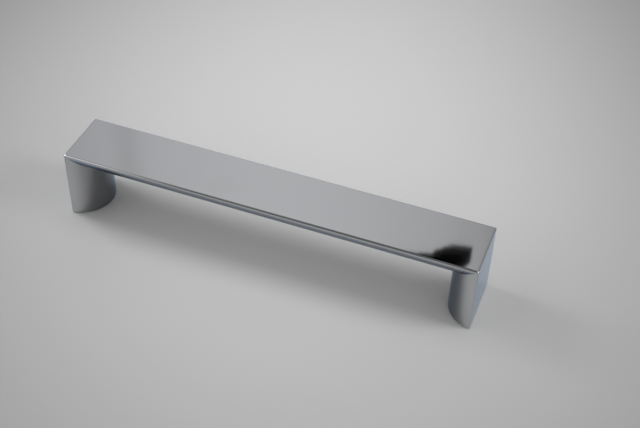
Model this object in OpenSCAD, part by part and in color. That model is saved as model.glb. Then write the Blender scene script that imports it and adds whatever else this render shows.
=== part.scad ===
// Cabinet bar pull, cast in one piece and plated bright.
// A straight bar and two legs share one kind of section: flat on the outer
// face and bulging towards the finger gap. The bulges of bar and leg run into
// each other along a crease at each inside corner, and every outer edge is
// broken by a small radius.
// Frame: the door's face is z = 0, the bar runs along x, and the origin is
// midway between the two screw holes.

/* [Fixing] */
// Distance between the two screw holes
hole_spacing = 128; // [64:32:320]
// From the middle of each screw hole to the end face of its leg
end_margin = 5.5; // [4.5:0.25:7]
// Diameter of each tapped hole inside its thread (3.3 suits an M4 screw)
tap_d = 3.3; // [2.5:0.1:4.2]
// Full depth of each tapped hole, above its drill point
tap_depth = 13; // [8:1:18]
// Width of the chamfer that leads the screw into the hole
tap_chamfer = 0.5; // [0.2:0.1:0.8]

/* [Bar and legs] */
// Width of the bar and of both legs, front to back
pull_w = 21; // [16:0.5:30]
// Height of the flat top above the door
projection = 25; // [22:1:45]
// Thickness of the bar at the middle of its width
bar_t = 7.0; // [5:0.1:10]
// Thickness of each leg at the middle of its width
leg_t = 9.6; // [9:0.1:14]
// Straight rim between each flat outer face and the bulge behind it
rim = 0.8; // [0.7:0.1:2]

/* [Edges] */
// Radius of the four edges round the flat top
top_edge_r = 0.6; // [0.3:0.05:0.7]
// Radius of the upright edges between the end faces and the sides
end_edge_r = 0.35; // [0.2:0.05:0.6]
// Radius of the edge round each foot
foot_edge_r = 0.4; // [0.2:0.05:0.6]

/* [Hidden] */
$fn = 96;

pull_l = hole_spacing + 2 * end_margin;
// How far a cutting shape reaches past what it cuts
past = 1;
// Half of the angle at the tip of the drill that makes the tapped holes
drill_half_angle = 59;

// The bar's section, its flat up: a rim, and half an ellipse below it
module bar_section() {
    bulge = bar_t - rim;
    translate([-pull_w / 2, -rim]) square([pull_w, rim]);
    intersection() {
        translate([0, -rim]) scale([pull_w / 2, bulge]) circle(r = 1);
        translate([-pull_w / 2, -rim - bulge]) square([pull_w, bulge]);
    }
}

// The straight bar
module bar() {
    translate([0, 0, projection])
        rotate([90, 0, 90])
            linear_extrude(height = pull_l, center = true) bar_section();
}

// The side outline of a round post of radius 1 whose foot has a rounded edge
// that becomes foot_edge_r once the post is stretched to the leg's width
module post_outline() {
    edge_w = foot_edge_r / (pull_w / 2);
    square([1 - edge_w, projection]);
    translate([0, foot_edge_r]) square([1, projection - foot_edge_r]);
    translate([1 - edge_w, foot_edge_r]) scale([edge_w, foot_edge_r]) circle(r = 1);
}

// The leg at the -x end: the rim behind its flat outer face, and an elliptical
// post, of which the inner half shows
module leg() {
    translate([-pull_l / 2, -pull_w / 2, 0]) cube([rim, pull_w, projection]);
    translate([-pull_l / 2 + rim, 0, 0])
        scale([leg_t - rim, pull_w / 2, 1])
            rotate_extrude() post_outline();
}

// A rectangle on the x axis with rounded corners, of one radius at the top and
// another at the foot
module block_outline(w, h, top_r, foot_r) {
    translate([-w / 2 + foot_r, 0]) square([w - 2 * foot_r, h / 2]);
    translate([-w / 2 + top_r, h / 2]) square([w - 2 * top_r, h / 2]);
    translate([-w / 2, foot_r]) square([w, h - foot_r - top_r]);
    for (side = [-1, 1]) {
        translate([side * (w / 2 - foot_r), foot_r]) circle(r = foot_r);
        translate([side * (w / 2 - top_r), h - top_r]) circle(r = top_r);
    }
}

// A centred rectangle with its four corners rounded
module block_plan(l, w, r) {
    square([l - 2 * r, w], center = true);
    square([l, w - 2 * r], center = true);
    for (x = [-1, 1], y = [-1, 1])
        translate([x * (l / 2 - r), y * (w / 2 - r)]) circle(r = r);
}

// The block that the whole pull fills from end to end, with its edges broken
module rounded_block() {
    intersection() {
        // the long edges of the top, and the feet's edges along the bar
        rotate([90, 0, 90])
            linear_extrude(height = pull_l + 2 * past, center = true)
                block_outline(pull_w, projection, top_edge_r, foot_edge_r);
        // the short edges of the top, and the feet's edges across the bar
        rotate([90, 0, 0])
            linear_extrude(height = pull_w + 2 * past, center = true)
                block_outline(pull_l, projection, top_edge_r, foot_edge_r);
        // the upright edges
        linear_extrude(height = projection + past)
            block_plan(pull_l, pull_w, end_edge_r);
    }
}

// The tapped hole in the foot at the -x end: a chamfered mouth, a straight
// wall and the point that the drill leaves
module tapped_hole() {
    hole_r = tap_d / 2;
    translate([-hole_spacing / 2, 0, 0]) {
        translate([0, 0, -past]) cylinder(r = hole_r, h = tap_depth + past);
        translate([0, 0, tap_depth])
            cylinder(r1 = hole_r, r2 = 0, h = hole_r / tan(drill_half_angle));
        translate([0, 0, -tap_chamfer])
            cylinder(r1 = hole_r + 2 * tap_chamfer, r2 = hole_r, h = 2 * tap_chamfer);
    }
}

// The casting with its holes
module pull() {
    color([0.74, 0.75, 0.77])
        difference() {
            intersection() {
                union() {
                    bar();
                    leg();
                    mirror([1, 0, 0]) leg();
                }
                rounded_block();
            }
            tapped_hole();
            mirror([1, 0, 0]) tapped_hole();
        }
}

pull();
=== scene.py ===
# %% [markdown]
# # A cabinet pull, cast in one piece and plated bright
# This lesson dresses a furniture handle that is already solid: a straight bar
# on two legs, 128 mm from screw to screw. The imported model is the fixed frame,
# in metres, with the door's face at z = 0 and the bar along x. The shape is
# simple and the plating is a mirror, so nearly all of the look comes from two
# things: how smoothly the surface turns, and what stands round it to be seen
# in it. The steps are the measurements, the camera, the skin, the finish and
# the studio.

import math

import bpy
import numpy as np
from mathutils import Matrix, Vector


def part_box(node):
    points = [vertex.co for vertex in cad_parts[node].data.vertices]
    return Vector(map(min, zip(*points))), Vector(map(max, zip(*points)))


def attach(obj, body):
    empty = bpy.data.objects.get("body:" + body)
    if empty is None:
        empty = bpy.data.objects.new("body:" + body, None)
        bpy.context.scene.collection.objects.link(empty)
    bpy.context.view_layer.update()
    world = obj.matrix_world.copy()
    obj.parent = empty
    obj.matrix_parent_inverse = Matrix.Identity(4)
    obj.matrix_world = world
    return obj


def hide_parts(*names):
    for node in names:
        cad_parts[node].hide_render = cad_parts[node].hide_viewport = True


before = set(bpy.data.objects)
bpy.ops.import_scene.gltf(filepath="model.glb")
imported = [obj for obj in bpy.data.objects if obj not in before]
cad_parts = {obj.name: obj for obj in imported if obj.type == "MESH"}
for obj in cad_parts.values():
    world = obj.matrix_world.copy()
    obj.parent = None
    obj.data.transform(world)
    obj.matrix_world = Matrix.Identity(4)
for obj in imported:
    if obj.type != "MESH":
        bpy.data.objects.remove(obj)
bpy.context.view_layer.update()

# %% [markdown]
# ## Measurements
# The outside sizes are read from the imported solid, so the skin made here can
# never be longer, wider or taller than the part. The sizes inside the form
# aren't in a bounding box, so they are written again as the source has them:
# the thickness of the bar and the legs, the straight rim behind each flat
# face, and the small radii that break the edges. Lengths are in millimetres
# until the mesh is made.

# %% Measurements
MM = 0.001

low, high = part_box("pull")
LENGTH = (high.x - low.x) / MM
WIDTH = (high.y - low.y) / MM
PROJECTION = (high.z - low.z) / MM

BAR_T = 7.2
LEG_T = 9.7
RIM = 0.9
# The bulge leaves the rim on a flank that is a round arc
BAR_FLANK_R = 11.2
LEG_FLANK_R = 10.7
TOP_EDGE_R = 0.35
# Polishing draws the top edges out into the flat further than they go down
TOP_EDGE_W = 0.6
END_EDGE_R = 0.35
FOOT_EDGE_R = 0.4
# The small cove that a casting keeps where bar and leg meet inside
COVE_R = 0.4

END_MARGIN = 5.5
TAP_R = 1.65
TAP_DEPTH = 13.0
TAP_CHAMFER = 0.5

print(f"pull: {LENGTH:.1f} long, {WIDTH:.1f} wide, {PROJECTION:.1f} high")

# %% [markdown]
# ## Camera
# The camera comes first, because every later choice is judged through it. Its
# place was solved from the straight edges of the pull: it looks down at 43
# degrees, turned 20 degrees to the right of square, and it is tilted by two
# degrees as a camera in the hand is. The lens is given in pixels of a picture
# 640 wide, and a sensor 36 mm wide turns that into a focal length.

# %% Camera
PICTURE_W = 640
SENSOR_W = 36.0
FOCAL_PX = 1169.4

camera_place = Vector((106.760, -253.909, 269.695)) * MM
turn, rise, tilt = (math.radians(a) for a in (19.760, 42.744, 1.940))

back = Vector((math.sin(turn) * math.cos(rise),
               -math.cos(turn) * math.cos(rise),
               math.sin(rise)))
level_right = (-back).cross(Vector((0, 0, 1))).normalized()
level_up = level_right.cross(-back)
right = math.cos(tilt) * level_right + math.sin(tilt) * level_up
up = -math.sin(tilt) * level_right + math.cos(tilt) * level_up

camera_data = bpy.data.cameras.new("camera")
camera_data.sensor_width = SENSOR_W
camera_data.lens = FOCAL_PX / PICTURE_W * SENSOR_W
camera_data.clip_start = 0.01
camera = bpy.data.objects.new("camera", camera_data)
bpy.context.scene.collection.objects.link(camera)
camera.matrix_world = Matrix.Translation(camera_place) @ Matrix(
    (right, up, back)).transposed().to_4x4()
bpy.context.scene.camera = camera
print(f"lens {camera_data.lens:.1f} mm, "
      f"{(camera_place - Vector((0, 0, PROJECTION / 2 * MM))).length:.3f} m "
      "from the pull")

# %% [markdown]
# ## The section
# Bar and legs share one kind of section: a flat outer face with broken edges,
# a short straight rim, and a bulge on the finger side. The bulge has a round
# flank next to the rim and a flatter belly in the middle. A mirror shows
# every facet, so the section isn't taken from a coarse mesh: it is worked out
# here as one ring of points, each with the exact direction in which the
# surface faces there. The same ring is written twice, once with the leg's
# sizes and once with the bar's, so that point number i of the one can be
# joined to point number i of the other.

# %% The section, as a ring of points
FLAT_STEPS = 8
EDGE_STEPS = 8
FLANK_STEPS = 26
BELLY_STEPS = 30
# How far the flank has turned where the belly takes over
FLANK_END = math.radians(48)


def half_section(thickness, flank_r, edge_r, edge_w):
    """From the middle of the flat to the middle of the bulge, on the +y side.
    Each row is depth behind the flat, y, and the two parts of the normal."""
    half = WIDTH / 2
    rows = []
    for k in range(FLAT_STEPS // 2):
        rows.append((0, (half - edge_w) * k / (FLAT_STEPS // 2), -1, 0))
    for k in range(EDGE_STEPS + 1):
        a = math.pi / 2 * k / EDGE_STEPS
        face = Vector((-math.cos(a) / edge_r, math.sin(a) / edge_w)).normalized()
        rows.append((edge_r * (1 - math.cos(a)), half - edge_w * (1 - math.sin(a)),
                     face.x, face.y))
    first = math.acos(half / flank_r)
    centre = RIM - flank_r * math.sin(first)
    for k in range(FLANK_STEPS):
        a = first + (FLANK_END - first) * k / FLANK_STEPS
        rows.append((centre + flank_r * math.sin(a), flank_r * math.cos(a),
                     math.sin(a), math.cos(a)))
    # The belly is part of an ellipse that starts in the flank's direction
    join_y = flank_r * math.cos(FLANK_END)
    rest = (thickness - centre - flank_r * math.sin(FLANK_END)) \
        * math.tan(FLANK_END) / join_y
    first = math.asin(rest / (1 - rest))
    wide = join_y / math.cos(first)
    deep = wide * math.tan(first) / math.tan(FLANK_END)
    for k in range(BELLY_STEPS + 1):
        a = first + (math.pi / 2 - first) * k / BELLY_STEPS
        face = Vector((math.sin(a) / deep, math.cos(a) / wide)).normalized()
        rows.append((thickness - deep * (1 - math.sin(a)), wide * math.cos(a),
                     face.x, face.y))
    return rows


def section(thickness, flank_r, edge_r, edge_w):
    """The whole closed ring."""
    there = half_section(thickness, flank_r, edge_r, edge_w)
    return np.array(there + [(d, -y, nd, -ny) for d, y, nd, ny in there[-2:0:-1]])


leg_ring = section(LEG_T, LEG_FLANK_R, END_EDGE_R, END_EDGE_R)
bar_ring = section(BAR_T, BAR_FLANK_R, TOP_EDGE_R, TOP_EDGE_W)
RING = len(leg_ring)
print(f"ring of {RING} points")

# %% [markdown]
# ## The skin
# On the real casting a line drawn up the leg turns over at the corner and runs
# on along the bar. The skin is built of exactly those lines, one for each
# point of the ring: straight up the leg, round a small quarter turn, straight
# along the bar, and the same again down the other leg. On the outer face the
# quarter turn is the radius of the top edge. On the finger side it is the
# small cove in the crease. A boolean of two solids would give the same form,
# but with slivers along the crease that a mirror would show.

# %% The turn that each line makes at the corner
CORNER_STEPS = 10
LEG_STEPS = 6
BAR_STEPS = 32
LEAST_R = 0.03
COVE_BLEND_Y = 2.0


def smooth(t):
    """From 0 to 1 with a level start and end."""
    t = np.clip(t, 0, 1)
    return t * t * (3 - 2 * t)


on_flat = leg_ring[:, 2] < 0
cove = LEAST_R + (COVE_R - LEAST_R) * smooth(
    (WIDTH / 2 - np.abs(leg_ring[:, 1])) / COVE_BLEND_Y)
inside = np.where(leg_ring[:, 0] > RIM, cove, LEAST_R)
share = np.where(on_flat, -bar_ring[:, 2], 0)
turn_x = np.where(on_flat, np.maximum(TOP_EDGE_W * share, LEAST_R), inside)
turn_z = np.where(on_flat, np.maximum(TOP_EDGE_R * share, LEAST_R), inside)
print(f"turns from {turn_z.min():.2f} to {turn_x.max():.2f} mm")

# %% Stations along the lines, from one foot to the middle of the bar
FOOT_STEPS = 6
FOOT_INSET = 0.34

e, y_leg, n_e, n_yl = leg_ring.T
d, y_bar, n_d, n_yb = bar_ring.T
zero = np.zeros(RING)


def station(x, y, z, nx, ny, nz):
    """One ring of the skin: places and facing directions."""
    face = np.stack([nx + zero, ny + zero, nz + zero], 1)
    face /= np.linalg.norm(face, axis=1)[:, None]
    return np.stack([x + zero, y + zero, z + zero], 1), face


stations = []
for k in range(FOOT_STEPS):
    a = math.pi / 2 * (1 - k / FOOT_STEPS)
    inset = FOOT_INSET * (1 - math.cos(a))
    stations.append(station(e - n_e * inset, y_leg - n_yl * inset,
                            FOOT_EDGE_R * (1 - math.sin(a)),
                            n_e * math.cos(a), n_yl * math.cos(a), -math.sin(a)))
leg_top = PROJECTION - d - turn_z
for k in range(LEG_STEPS):
    t = k / LEG_STEPS
    stations.append(station(e, y_leg, FOOT_EDGE_R + t * (leg_top - FOOT_EDGE_R),
                            n_e, n_yl, 0))
for k in range(CORNER_STEPS + 1):
    a = math.pi / 2 * k / CORNER_STEPS
    t = math.sin(a) ** 2
    out_x, out_z = math.cos(a) / turn_x, math.sin(a) / turn_z
    out = np.hypot(out_x, out_z)
    stations.append(station(e + turn_x * (1 - math.cos(a)),
                            y_leg + t * (y_bar - y_leg),
                            leg_top + turn_z * math.sin(a),
                            n_e * out_x / out, n_yl + t * (n_yb - n_yl),
                            -n_d * out_z / out))
bar_start = e + turn_x
for k in range(1, BAR_STEPS // 2 + 1):
    t = k / (BAR_STEPS // 2)
    stations.append(station(bar_start + t * (LENGTH / 2 - bar_start), y_bar,
                            PROJECTION - d, 0, n_yb, -n_d))

places = np.array([s[0] for s in stations])
faces = np.array([s[1] for s in stations])
places[:, :, 0] -= LENGTH / 2
flip = np.array([-1, 1, 1])
places = np.concatenate([places, places[-2::-1] * flip])
faces = np.concatenate([faces, faces[-2::-1] * flip])
ROWS = len(places)
print(f"{ROWS} rings from foot to foot")

# %% [markdown]
# ## The feet and their threads
# Each leg ends in a flat foot with a tapped hole for the screw that comes
# through the door. The photograph never looks in there, but a person who turns
# the pull over does. The hole has a small countersink, an M4 thread cut
# outwards from the tap drill's wall, a plain length where the tap stops short,
# and the cone that the drill leaves. The thread is a real groove: the wall's
# radius follows a saw-tooth that moves up by one pitch for each turn.

# %% A place to collect vertices, faces and facing directions
verts, polys, poly_faces = [], [], []
sharp_rings = []
AUTO = (0.0, 0.0, 0.0)
DOWN = (0.0, 0.0, -1.0)


def add_ring(points):
    """Adds a loop of vertices and gives their numbers."""
    first = len(verts)
    verts.extend(tuple(p) for p in points)
    return list(range(first, first + len(points)))


def bridge(lower, upper, lower_faces=None, upper_faces=None):
    """Quads between two loops of the same count."""
    count = len(lower)
    for i in range(count):
        j = (i + 1) % count
        polys.append((lower[i], upper[i], upper[j], lower[j]))
        if lower_faces is None:
            poly_faces.append((AUTO,) * 4)
        else:
            poly_faces.append((lower_faces[i], upper_faces[i],
                               upper_faces[j], lower_faces[j]))


# %% The skin's quads
skin = [add_ring(row) for row in places]
for k in range(ROWS - 1):
    bridge(skin[k], skin[k + 1], faces[k], faces[k + 1])
print(f"skin: {len(polys)} quads")

# %% The tapped holes
HOLE_STEPS = 64
PITCH = 0.7
THREAD_DEPTH = 0.36
ROWS_PER_PITCH = 8
THREAD_END = 11.2
DRILL_HALF_ANGLE = math.radians(59)
# Share of a pitch that the crest keeps level, and the root too
THREAD_LEVEL = 0.12
MOUTH_R = TAP_R + TAP_CHAMFER


def thread_groove(phase):
    """0 on the crest and 1 at the root, over one pitch."""
    wave = np.abs(2 * (phase - np.floor(phase)) - 1)
    return smooth((wave - THREAD_LEVEL) / (1 - 2 * THREAD_LEVEL))


def circle(radius, z, centre_x):
    """A level loop of points round a hole's axis."""
    a = np.arange(HOLE_STEPS) * 2 * math.pi / HOLE_STEPS
    radius = radius + np.zeros(HOLE_STEPS)
    return np.stack([centre_x + radius * np.cos(a), radius * np.sin(a),
                     np.full(HOLE_STEPS, z)], 1)


def zip_foot(outline, mouth, centre_x):
    """Flat triangles, facing down, between a foot's outline and its hole."""
    def unrolled(loop):
        """The loop's vertices and their angles about the hole, once round."""
        turns = sorted((math.atan2(verts[v][1], verts[v][0] - centre_x)
                        % (2 * math.pi), v) for v in loop)
        turns.append((turns[0][0] + 2 * math.pi, turns[0][1]))
        return turns

    outer, inner = unrolled(outline), unrolled(mouth)
    i = j = 0
    while i < len(outline) or j < len(mouth):
        outer_next = j == len(mouth) or (
            i < len(outline) and outer[i + 1][0] < inner[j + 1][0])
        corner = outer[i + 1][1] if outer_next else inner[j + 1][1]
        polys.append((inner[j][1], corner, outer[i][1]))
        poly_faces.append((DOWN,) * 3)
        i, j = (i + 1, j) if outer_next else (i, j + 1)


def tapped_foot(outline, hand):
    """Closes one foot, hand -1 at the left and 1 at the right."""
    centre_x = hand * (LENGTH / 2 - END_MARGIN)
    mouth = add_ring(circle(MOUTH_R, 0, centre_x))
    zip_foot(outline, mouth, centre_x)
    a = np.arange(HOLE_STEPS) / HOLE_STEPS
    loops = [mouth, add_ring(circle(TAP_R, TAP_CHAMFER, centre_x))]
    step = PITCH / ROWS_PER_PITCH
    for k in range(1, int((THREAD_END - TAP_CHAMFER) / step) + 1):
        z = TAP_CHAMFER + k * step
        fade = smooth((z - TAP_CHAMFER) / PITCH) * smooth((THREAD_END - z) / PITCH)
        groove = THREAD_DEPTH * fade * thread_groove(z / PITCH - a)
        loops.append(add_ring(circle(TAP_R + groove, z, centre_x)))
    loops.append(add_ring(circle(TAP_R, TAP_DEPTH, centre_x)))
    for under, over in zip(loops, loops[1:]):
        bridge(under, over)
    sharp_rings.extend([loops[0], loops[1], loops[-1]])
    tip = len(verts)
    verts.append((centre_x, 0.0, TAP_DEPTH + TAP_R / math.tan(DRILL_HALF_ANGLE)))
    last = loops[-1]
    for i in range(HOLE_STEPS):
        polys.append((last[i], tip, last[(i + 1) % HOLE_STEPS]))
        poly_faces.append((AUTO,) * 3)


tapped_foot(skin[0], -1)
tapped_foot(skin[-1], 1)
print(f"with feet and threads: {len(polys)} faces")

# %% [markdown]
# ## One closed mesh
# Every edge should have two faces that agree on which side is out, and the
# script counts the edges that don't. The exact facing directions then replace
# Blender's own averages, which would let the small edge radii bend the
# reflections in the wide flat faces beside them.

# %% Make the casting
mesh = bpy.data.meshes.new("pull_casting")
mesh.from_pydata([tuple(c * MM for c in v) for v in verts], [], polys)
mesh.polygons.foreach_set("use_smooth", [True] * len(polys))
mesh.update()

ring_edges = {tuple(sorted((loop[i - 1], loop[i])))
              for loop in sharp_rings for i in range(len(loop))}
for edge in mesh.edges:
    edge.use_edge_sharp = tuple(sorted(edge.vertices)) in ring_edges
mesh.normals_split_custom_set(
    [tuple(face) for corners in poly_faces for face in corners])

casting = bpy.data.objects.new("pull_casting", mesh)
bpy.context.scene.collection.objects.link(casting)
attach(casting, "root")
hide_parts("pull")

# %% Check it
one_way = set()
for poly in polys:
    one_way.update(zip(poly, poly[1:] + poly[:1]))
unmatched = sum((b, a) not in one_way for a, b in one_way)
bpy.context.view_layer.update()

# %% [markdown]
# ## Sums for shaders
# A finish is a sum of simple patterns. Written as nodes that sum is hard to
# read, so one small class wraps the value that comes out of a socket, and
# plus, minus, times and so on add the Math nodes. A second class holds the
# node tree, and one method of it adds any other kind of node.

# %% Two small classes
class Wire:
    """A value from one socket. Sums on it add Math nodes."""

    def __init__(self, board, socket):
        self.board, self.socket = board, socket

    def of(self, operation, *values):
        """One Math node on any values."""
        made = self.board.node("ShaderNodeMath", {"operation": operation},
                               dict(enumerate(values)))
        return made["Value"]

    def maths(self, operation, *others):
        """Any other operation of the Math node, with this value first."""
        return self.of(operation, self, *others)

    def __add__(self, other):
        return self.of("ADD", self, other)

    def __radd__(self, other):
        return self.of("ADD", other, self)

    def __sub__(self, other):
        return self.of("SUBTRACT", self, other)

    def __rsub__(self, other):
        return self.of("SUBTRACT", other, self)

    def __mul__(self, other):
        return self.of("MULTIPLY", self, other)

    def __rmul__(self, other):
        return self.of("MULTIPLY", other, self)

    def __truediv__(self, other):
        return self.of("DIVIDE", self, other)

    def __rtruediv__(self, other):
        return self.of("DIVIDE", other, self)

    def __pow__(self, other):
        return self.of("POWER", self, other)

    def step(self, start, end):
        """0 before start, 1 after end, and a smooth rise between them."""
        made = self.board.node(
            "ShaderNodeMapRange", {"interpolation_type": "SMOOTHSTEP"},
            {"Value": self, "From Min": start, "From Max": end})
        return made["Result"]

    def hill(self, centre, width):
        """1 at the centre, falling off smoothly on both sides."""
        off = (self - centre) / width
        return (off * off * -1).maths("EXPONENT")


class Made:
    """A node that was added. Its outputs are asked for by name."""

    def __init__(self, board, node):
        self.board, self.node = board, node

    def __getitem__(self, name):
        return Wire(self.board, self.node.outputs[name])


class Board:
    """The node tree of a material, a world or a lamp."""

    def __init__(self, owner):
        owner.use_nodes = True
        self.tree = owner.node_tree
        self.tree.nodes.clear()

    def node(self, kind, settings=None, sockets=None):
        """Adds a node: its type, its settings, then values or links."""
        made = self.tree.nodes.new(kind)
        for name, value in (settings or {}).items():
            setattr(made, name, value)
        for name, value in (sockets or {}).items():
            if isinstance(value, Wire):
                self.tree.links.new(value.socket, made.inputs[name])
            else:
                made.inputs[name].default_value = value
        return Made(self, made)

    def split(self, vector):
        """The three parts of a vector or a colour."""
        made = self.node("ShaderNodeSeparateXYZ", None, {"Vector": vector})
        return made["X"], made["Y"], made["Z"]

    def join(self, x, y, z):
        """A vector from three values."""
        made = self.node("ShaderNodeCombineXYZ", None, {"X": x, "Y": y, "Z": z})
        return made["Vector"]

    def noise(self, vector, scale, detail=2.0, roughness=0.5):
        """Cloudy noise, mostly between 0.3 and 0.7."""
        made = self.node("ShaderNodeTexNoise", None,
                         {"Vector": vector, "Scale": scale, "Detail": detail,
                          "Roughness": roughness})
        return made["Fac"]

    def mix(self, share, first, second):
        """A colour between two others."""
        made = self.node("ShaderNodeMix", {"data_type": "RGBA"},
                         {0: share, 6: first, 7: second})
        return Wire(self, made.node.outputs[2])


def grey(level, warm=0.0):
    """A colour that is nearly grey, warmer or cooler by a little."""
    return (level * (1 + warm), level, level * (1 - warm), 1.0)


# %% [markdown]
# ## The plating
# Bright chrome over nickel is a mirror with a faint blue cast that grows
# towards grazing angles. A plain metallic shader with one colour would look
# like polished steel, so the edge tint is set apart from the base colour. The
# rest is what keeps it from looking computed: the casting under the plating
# is never quite flat, so the surface waves by a few thousandths of a
# millimetre, polishing leaves faint lines along the bar, handling leaves
# slightly duller patches, and a few specks of dust lie on the upward faces.
# Painted shade: the plating's colour is darkened where the casting turns in
# towards the finger gap, so the bulges there throw back less light than the flat
# faces do. It stands in for the shade that falls there.
# Plating hardly reaches into a blind hole, so the threads show the grey zinc.

# %% The plating's material
CHROME = (0.560, 0.566, 0.582, 1.0)
CHROME_WORN = (0.545, 0.550, 0.564, 1.0)
CHROME_EDGE = (0.70, 0.80, 0.93, 1.0)
# Painted shade: the dark colour mixed into the recesses on the finger side
PAINTED_SHADE_COLOUR = grey(0.045)
BARE_ZINC = grey(0.36, -0.01)
DUST = grey(0.30, 0.02)

# How close the patterns lie, per metre
LINES_ALONG, LINES_ACROSS = 30, 1500
PATCH_SCALE, WAVE_SCALE, RIPPLE_SCALE = 55.0, 42.0, 330.0
# How high each one stands, in metres
WAVE_HIGH, RIPPLE_HIGH, LINE_HIGH = 6.0e-6, 2.0e-7, 2.0e-8
# The polish, and what each thing adds to its roughness
POLISH = 0.022
ROUGH_LINES, ROUGH_PATCHES, ROUGH_DUST, ROUGH_BORE = 0.012, 0.016, 0.5, 0.3
# Size of the cells that may hold a speck, and of the specks as a share of it
CELL = 0.0045
SPECK_EDGE = (0.018, 0.030)
CELLS_CHOSEN = (0.90, 0.91)
FACING_UP = (0.7, 0.9)
DUST_COVER, DUST_METAL_LOSS = 0.8, 0.9
# The bore's edge outwards and upwards, in metres
BORE_EDGE = (0.00205, 0.00215)
BORE_TOP = (0.0142, 0.0146)
# Where the painted shade in the recesses starts, measured in from the bar's
# outer face, and where it is darkest
PAINTED_SHADE_DEPTH = (0.0008, 0.0055)
PAINTED_SHADE_SHARE = 0.56

plating = bpy.data.materials.new("bright_plating")
board = Board(plating)
place = board.node("ShaderNodeTexCoord")["Object"]
x, y, z = board.split(place)
_, _, facing_up = board.split(board.node("ShaderNodeNewGeometry")["Normal"])

# Lines left by polishing: long along the bar, under a millimetre across
lines = board.noise(
    board.join(x * LINES_ALONG, y * LINES_ACROSS, z * LINES_ACROSS), 1.0, 3.0)
# Patches dulled by handling
patches = board.noise(place, PATCH_SCALE, 3.0).step(0.50, 0.72)
# The casting's own unevenness under the plating
waves = board.noise(place, WAVE_SCALE, 1.0)
ripple = board.noise(place, RIPPLE_SCALE, 1.0)

# Specks of dust: some cells of a cell pattern hold one small spot each
cells = board.node("ShaderNodeTexVoronoi", None,
                   {"Vector": place, "Scale": 1 / CELL})
chosen, _, _ = board.split(cells["Color"])
spots = (1 - cells["Distance"].step(*SPECK_EDGE)) * chosen.step(*CELLS_CHOSEN)
dust = spots * facing_up.step(*FACING_UP)

# The bare bore of each tapped hole
from_axis = x.maths("ABSOLUTE") - (LENGTH / 2 - END_MARGIN) * MM
axis_r = (from_axis * from_axis + y * y) ** 0.5
bore = (1 - axis_r.step(*BORE_EDGE)) * (1 - z.step(*BORE_TOP))

# How far in from the outer faces, with the leg's depth scaled to the bar's
depth = ((LENGTH / 2 * MM - x.maths("ABSOLUTE")) * (BAR_T / LEG_T)).maths(
    "MINIMUM", PROJECTION * MM - z)
# Painted shade: the colour darkens from the outer faces in towards the finger side
painted_shade = depth.step(*PAINTED_SHADE_DEPTH)

colour = board.mix(patches, CHROME, CHROME_WORN)
colour = board.mix(painted_shade * PAINTED_SHADE_SHARE, colour, PAINTED_SHADE_COLOUR)
colour = board.mix(dust * DUST_COVER, colour, DUST)
colour = board.mix(bore, colour, BARE_ZINC)
roughness = (POLISH + lines * ROUGH_LINES + patches * ROUGH_PATCHES
             + dust * ROUGH_DUST + bore * ROUGH_BORE)

relief = board.node("ShaderNodeBump", None,
                    {"Distance": 1.0,
                     "Height": (waves * WAVE_HIGH + ripple * RIPPLE_HIGH
                                + lines * LINE_HIGH)})
shader = board.node("ShaderNodeBsdfPrincipled", None,
                    {"Base Color": colour, "Roughness": roughness,
                     "Metallic": 1 - dust * DUST_METAL_LOSS,
                     "Normal": relief["Normal"],
                     "Specular Tint": CHROME_EDGE})
board.node("ShaderNodeOutputMaterial", None, {"Surface": shader["BSDF"]})
casting.data.materials.append(plating)
print(f"plating: {len(board.tree.nodes)} nodes")

# %% [markdown]
# ## The floor
# The pull stands on a sheet of pale grey card. It is a stage and not part of
# the object. Card is a matt surface with a very fine tooth and hardly any
# difference in tone of its own, and it runs on past every view so that no edge
# of it is seen in the metal. A pool of light is painted into its colour: paler
# where the pull stands, darker further out.

# %% The floor
FLOOR_HALF = 3.0
FLOOR_TONE = 0.80
# Painted light: a pool of light painted into the card, paler where the pull
# stands than further out
LIGHT_POOL_X, LIGHT_POOL_Y = -0.011, 0.084
LIGHT_POOL_ACROSS, LIGHT_POOL_ALONG, LIGHT_POOL_SKEW = 0.162, 0.275, -0.13
LIGHT_POOL_FAR = 0.10
CLOUD_SCALE, TOOTH_SCALE = 14.0, 2600.0
FLECK = 0.03
TOOTH_HIGH = 1.5e-5
CARD_ROUGH, CARD_SHINE = 0.85, 0.2

floor_mesh = bpy.data.meshes.new("card_floor")
floor_mesh.from_pydata(
    [(-FLOOR_HALF, -FLOOR_HALF, 0), (FLOOR_HALF, -FLOOR_HALF, 0),
     (FLOOR_HALF, FLOOR_HALF, 0), (-FLOOR_HALF, FLOOR_HALF, 0)],
    [], [(0, 1, 2, 3)])
floor = bpy.data.objects.new("card_floor", floor_mesh)
bpy.context.scene.collection.objects.link(floor)

card = bpy.data.materials.new("pale_card")
board = Board(card)
place = board.node("ShaderNodeTexCoord")["Object"]
cloud = board.noise(place, CLOUD_SCALE, 3.0)
tooth = board.noise(place, TOOTH_SCALE, 2.0)
floor_x, floor_y, _ = board.split(place)
off_y = (floor_y - LIGHT_POOL_Y) / LIGHT_POOL_ALONG
off_x = (floor_x - LIGHT_POOL_X - (floor_y - LIGHT_POOL_Y) * LIGHT_POOL_SKEW) / LIGHT_POOL_ACROSS
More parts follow.
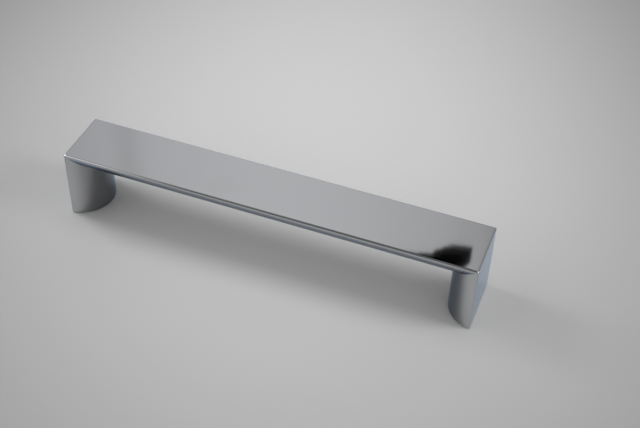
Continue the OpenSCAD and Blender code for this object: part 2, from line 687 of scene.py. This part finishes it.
# Painted light: the pool of light is painted into the card's colour
painted_light_pool = LIGHT_POOL_FAR + (1 - LIGHT_POOL_FAR) * (
    (off_x * off_x + off_y * off_y) * -1).maths("EXPONENT")
fleck = (cloud * 0.5 + tooth * 0.5 - 0.5) * FLECK
tone = board.mix(painted_light_pool + fleck, grey(0.0), grey(FLOOR_TONE))
relief = board.node("ShaderNodeBump", None,
                    {"Distance": 1.0, "Height": tooth * TOOTH_HIGH})
shader = board.node("ShaderNodeBsdfPrincipled", None,
                    {"Base Color": tone, "Roughness": CARD_ROUGH,
                     "Specular IOR Level": CARD_SHINE, "Normal": relief["Normal"]})
board.node("ShaderNodeOutputMaterial", None, {"Surface": shader["BSDF"]})
floor_mesh.materials.append(card)
print(f"floor: {2 * FLOOR_HALF:.0f} m square, {len(board.tree.nodes)} nodes")

# %% [markdown]
# ## The studio
# A mirror has no look of its own, so the room round it is built with care. It
# is a pale tent: walls of soft grey, brightest behind the pull and a little to
# the left, and two broad soft lamps overhead, one to each side, so that the
# shadow under the bar is gentle and the feet cast theirs both ways. The walls
# are the world's colour, worked out from the compass heading and the height
# of each direction. Between the wall and the lamps there is a dark gap with a
# black flag hanging from it, and it is this that draws the crisp dark lines
# without which plating looks like grey paint.

# %% The directions
DEGREES = 180 / math.pi

world = bpy.data.worlds.new("tent")
bpy.context.scene.world = world
board = Board(world)
way_x, way_y, way_z = board.split(board.node("ShaderNodeTexCoord")["Generated"])
heading = way_x.maths("ARCTAN2", way_y) * DEGREES
height = way_z.maths("ARCSINE") * DEGREES

# %% The walls of the tent
# Tones, each with the headings or the shares of x where it starts and is full
WALL_TONE = 0.30
BRIGHT_HEADING, BRIGHT_HALF, BRIGHT_MORE = -23.0, 18, 0.42
ROUND_MORE, ROUND_AT = 0.16, (30, 70)
LEFT_MORE, LEFT_AT = 0.30, (0.47, 0.85)
RIGHT_LESS, RIGHT_AT = 0.12, (0.30, 0.80)
# Two soft folds in the cloth: heading, half width and how much darker
FOLDS = ((-32, 0.8, 0.07), (-7.4, 1.3, 0.11))
OVERHEAD_AT = (58, 70)
CANOPY_TONE, CANOPY_MORE, CANOPY_AT = 0.30, 0.40, (0.36, 0.75)

off_bright = ((heading - BRIGHT_HEADING) / DEGREES).maths("COSINE").maths(
    "ARCCOSINE") * DEGREES
wall = (WALL_TONE + BRIGHT_MORE * off_bright.hill(0, BRIGHT_HALF)
        + ROUND_MORE * off_bright.step(*ROUND_AT)
        + LEFT_MORE * (way_x * -1).step(*LEFT_AT)
        - RIGHT_LESS * way_x.step(*RIGHT_AT))
for fold, half, less in FOLDS:
    wall = wall - less * heading.hill(fold, half)
overhead = height.step(*OVERHEAD_AT)
canopy = CANOPY_TONE + CANOPY_MORE * way_x.maths("ABSOLUTE").step(*CANOPY_AT)
room = wall * (1 - overhead) + canopy * overhead

# %% The front
# Behind the camera it is dark between two paler sides
FRONT_DARK, SIDE_MORE = 0.62, 0.47
aside = way_x.maths("ABSOLUTE").step(0.35, 0.45)
in_front = (way_y * -1).step(-0.20, 0.05)
room = room * (1 - in_front * (1 - aside) * FRONT_DARK) + in_front * aside * SIDE_MORE

# %% The dark gap and its flag
# The flag's lower edge sweeps up to the left and is frayed. Its right edge is
# cut straight and rounded off at the top. All values are degrees.
FLAG_LOW = 43.63
SWEEP_FROM, SWEEP_CURVE = -10.4, 0.20
SWEEP_BASE, SWEEP_SLOPE, SWEEP_MOST = 0.50, 0.05, 1.45
LIFT, LIFT_AT = 0.40, (4.5, 8.0)
FRAY = 0.4
LOW_EDGE_SOFT = (-0.05, 0.09)
SOFTER_FROM, SOFTER_SLOPE = 3.0, 2.5
FLAG_RIGHT, RIGHT_EDGE_SOFT = -9.34, (-0.11, 0.0)
CORNER_FROM, CORNER_MOST, CORNER_CURVE = 44.25, 0.6, 1.7
GAP_TOP, GAP_LEFT = (60, 72), (-40, -25)

hang = (SWEEP_FROM - heading).maths("MAXIMUM", 0.0)
fray = board.noise(board.join(heading * 1.2, height * 6.0, 0.0), 1.0, 3.0) - 0.5
sweep = ((hang * hang * SWEEP_CURVE).maths("MINIMUM", SWEEP_BASE + hang * SWEEP_SLOPE)
         + hang.step(*LIFT_AT) * LIFT)
lower_edge = (FLAG_LOW + sweep.maths("MINIMUM", SWEEP_MOST)
              + fray * FRAY * hang.step(-1.0, 1.0))
soft = 1 + (hang - SOFTER_FROM).maths("MAXIMUM", 0.0) * SOFTER_SLOPE
above = (height - CORNER_FROM).maths("MAXIMUM", 0.0).maths("MINIMUM", CORNER_MOST)
right_edge = FLAG_RIGHT - above * above * CORNER_CURVE
gap = (((height - lower_edge) / soft).step(*LOW_EDGE_SOFT)
       * (1 - height.step(*GAP_TOP))
       * (1 - (heading - right_edge).step(*RIGHT_EDGE_SOFT))
       * heading.step(*GAP_LEFT))
room = room * (1 - gap)

background = board.node("ShaderNodeBackground", None,
                        {"Color": (1, 1, 1, 1), "Strength": room})
board.node("ShaderNodeOutputWorld", None, {"Surface": background["Background"]})
print(f"tent: {len(board.tree.nodes)} nodes")

# %% The two lamps
LAMP_ACROSS = 0.12
LAMP_ALONG = 0.144
LAMP_AWAY = 0.36
LAMP_RADIANCE = 6.9
# Which way each lamp lies, seen from the pull: aside, back and up
LAMP_ASIDE, LAMP_BACK, LAMP_UP = 0.78, 0.090, 0.70

for side, lean in (("left", -LAMP_ASIDE), ("right", LAMP_ASIDE)):
    lamp_data = bpy.data.lights.new(f"lamp_{side}", "AREA")
    lamp_data.shape = "ELLIPSE"
    lamp_data.size, lamp_data.size_y = LAMP_ACROSS, LAMP_ALONG
    area = math.pi * LAMP_ACROSS * LAMP_ALONG / 4
    lamp_data.energy = LAMP_RADIANCE * math.pi * area
    lamp = bpy.data.objects.new(f"lamp_{side}", lamp_data)
    bpy.context.scene.collection.objects.link(lamp)
    way = Vector((lean, LAMP_BACK, LAMP_UP)).normalized()
    lamp.location = way * LAMP_AWAY
    lamp.rotation_mode = "QUATERNION"
    lamp.rotation_quaternion = way.to_track_quat("Z", "Y")
    lamp.visible_camera = False
    print(f"lamp {side}: {lamp_data.energy:.3f} W")

# %% [markdown]
# ## Colour management
# The Standard view shows each colour as it is written.

# %% Finish
bpy.context.scene.view_settings.view_transform = "Standard"
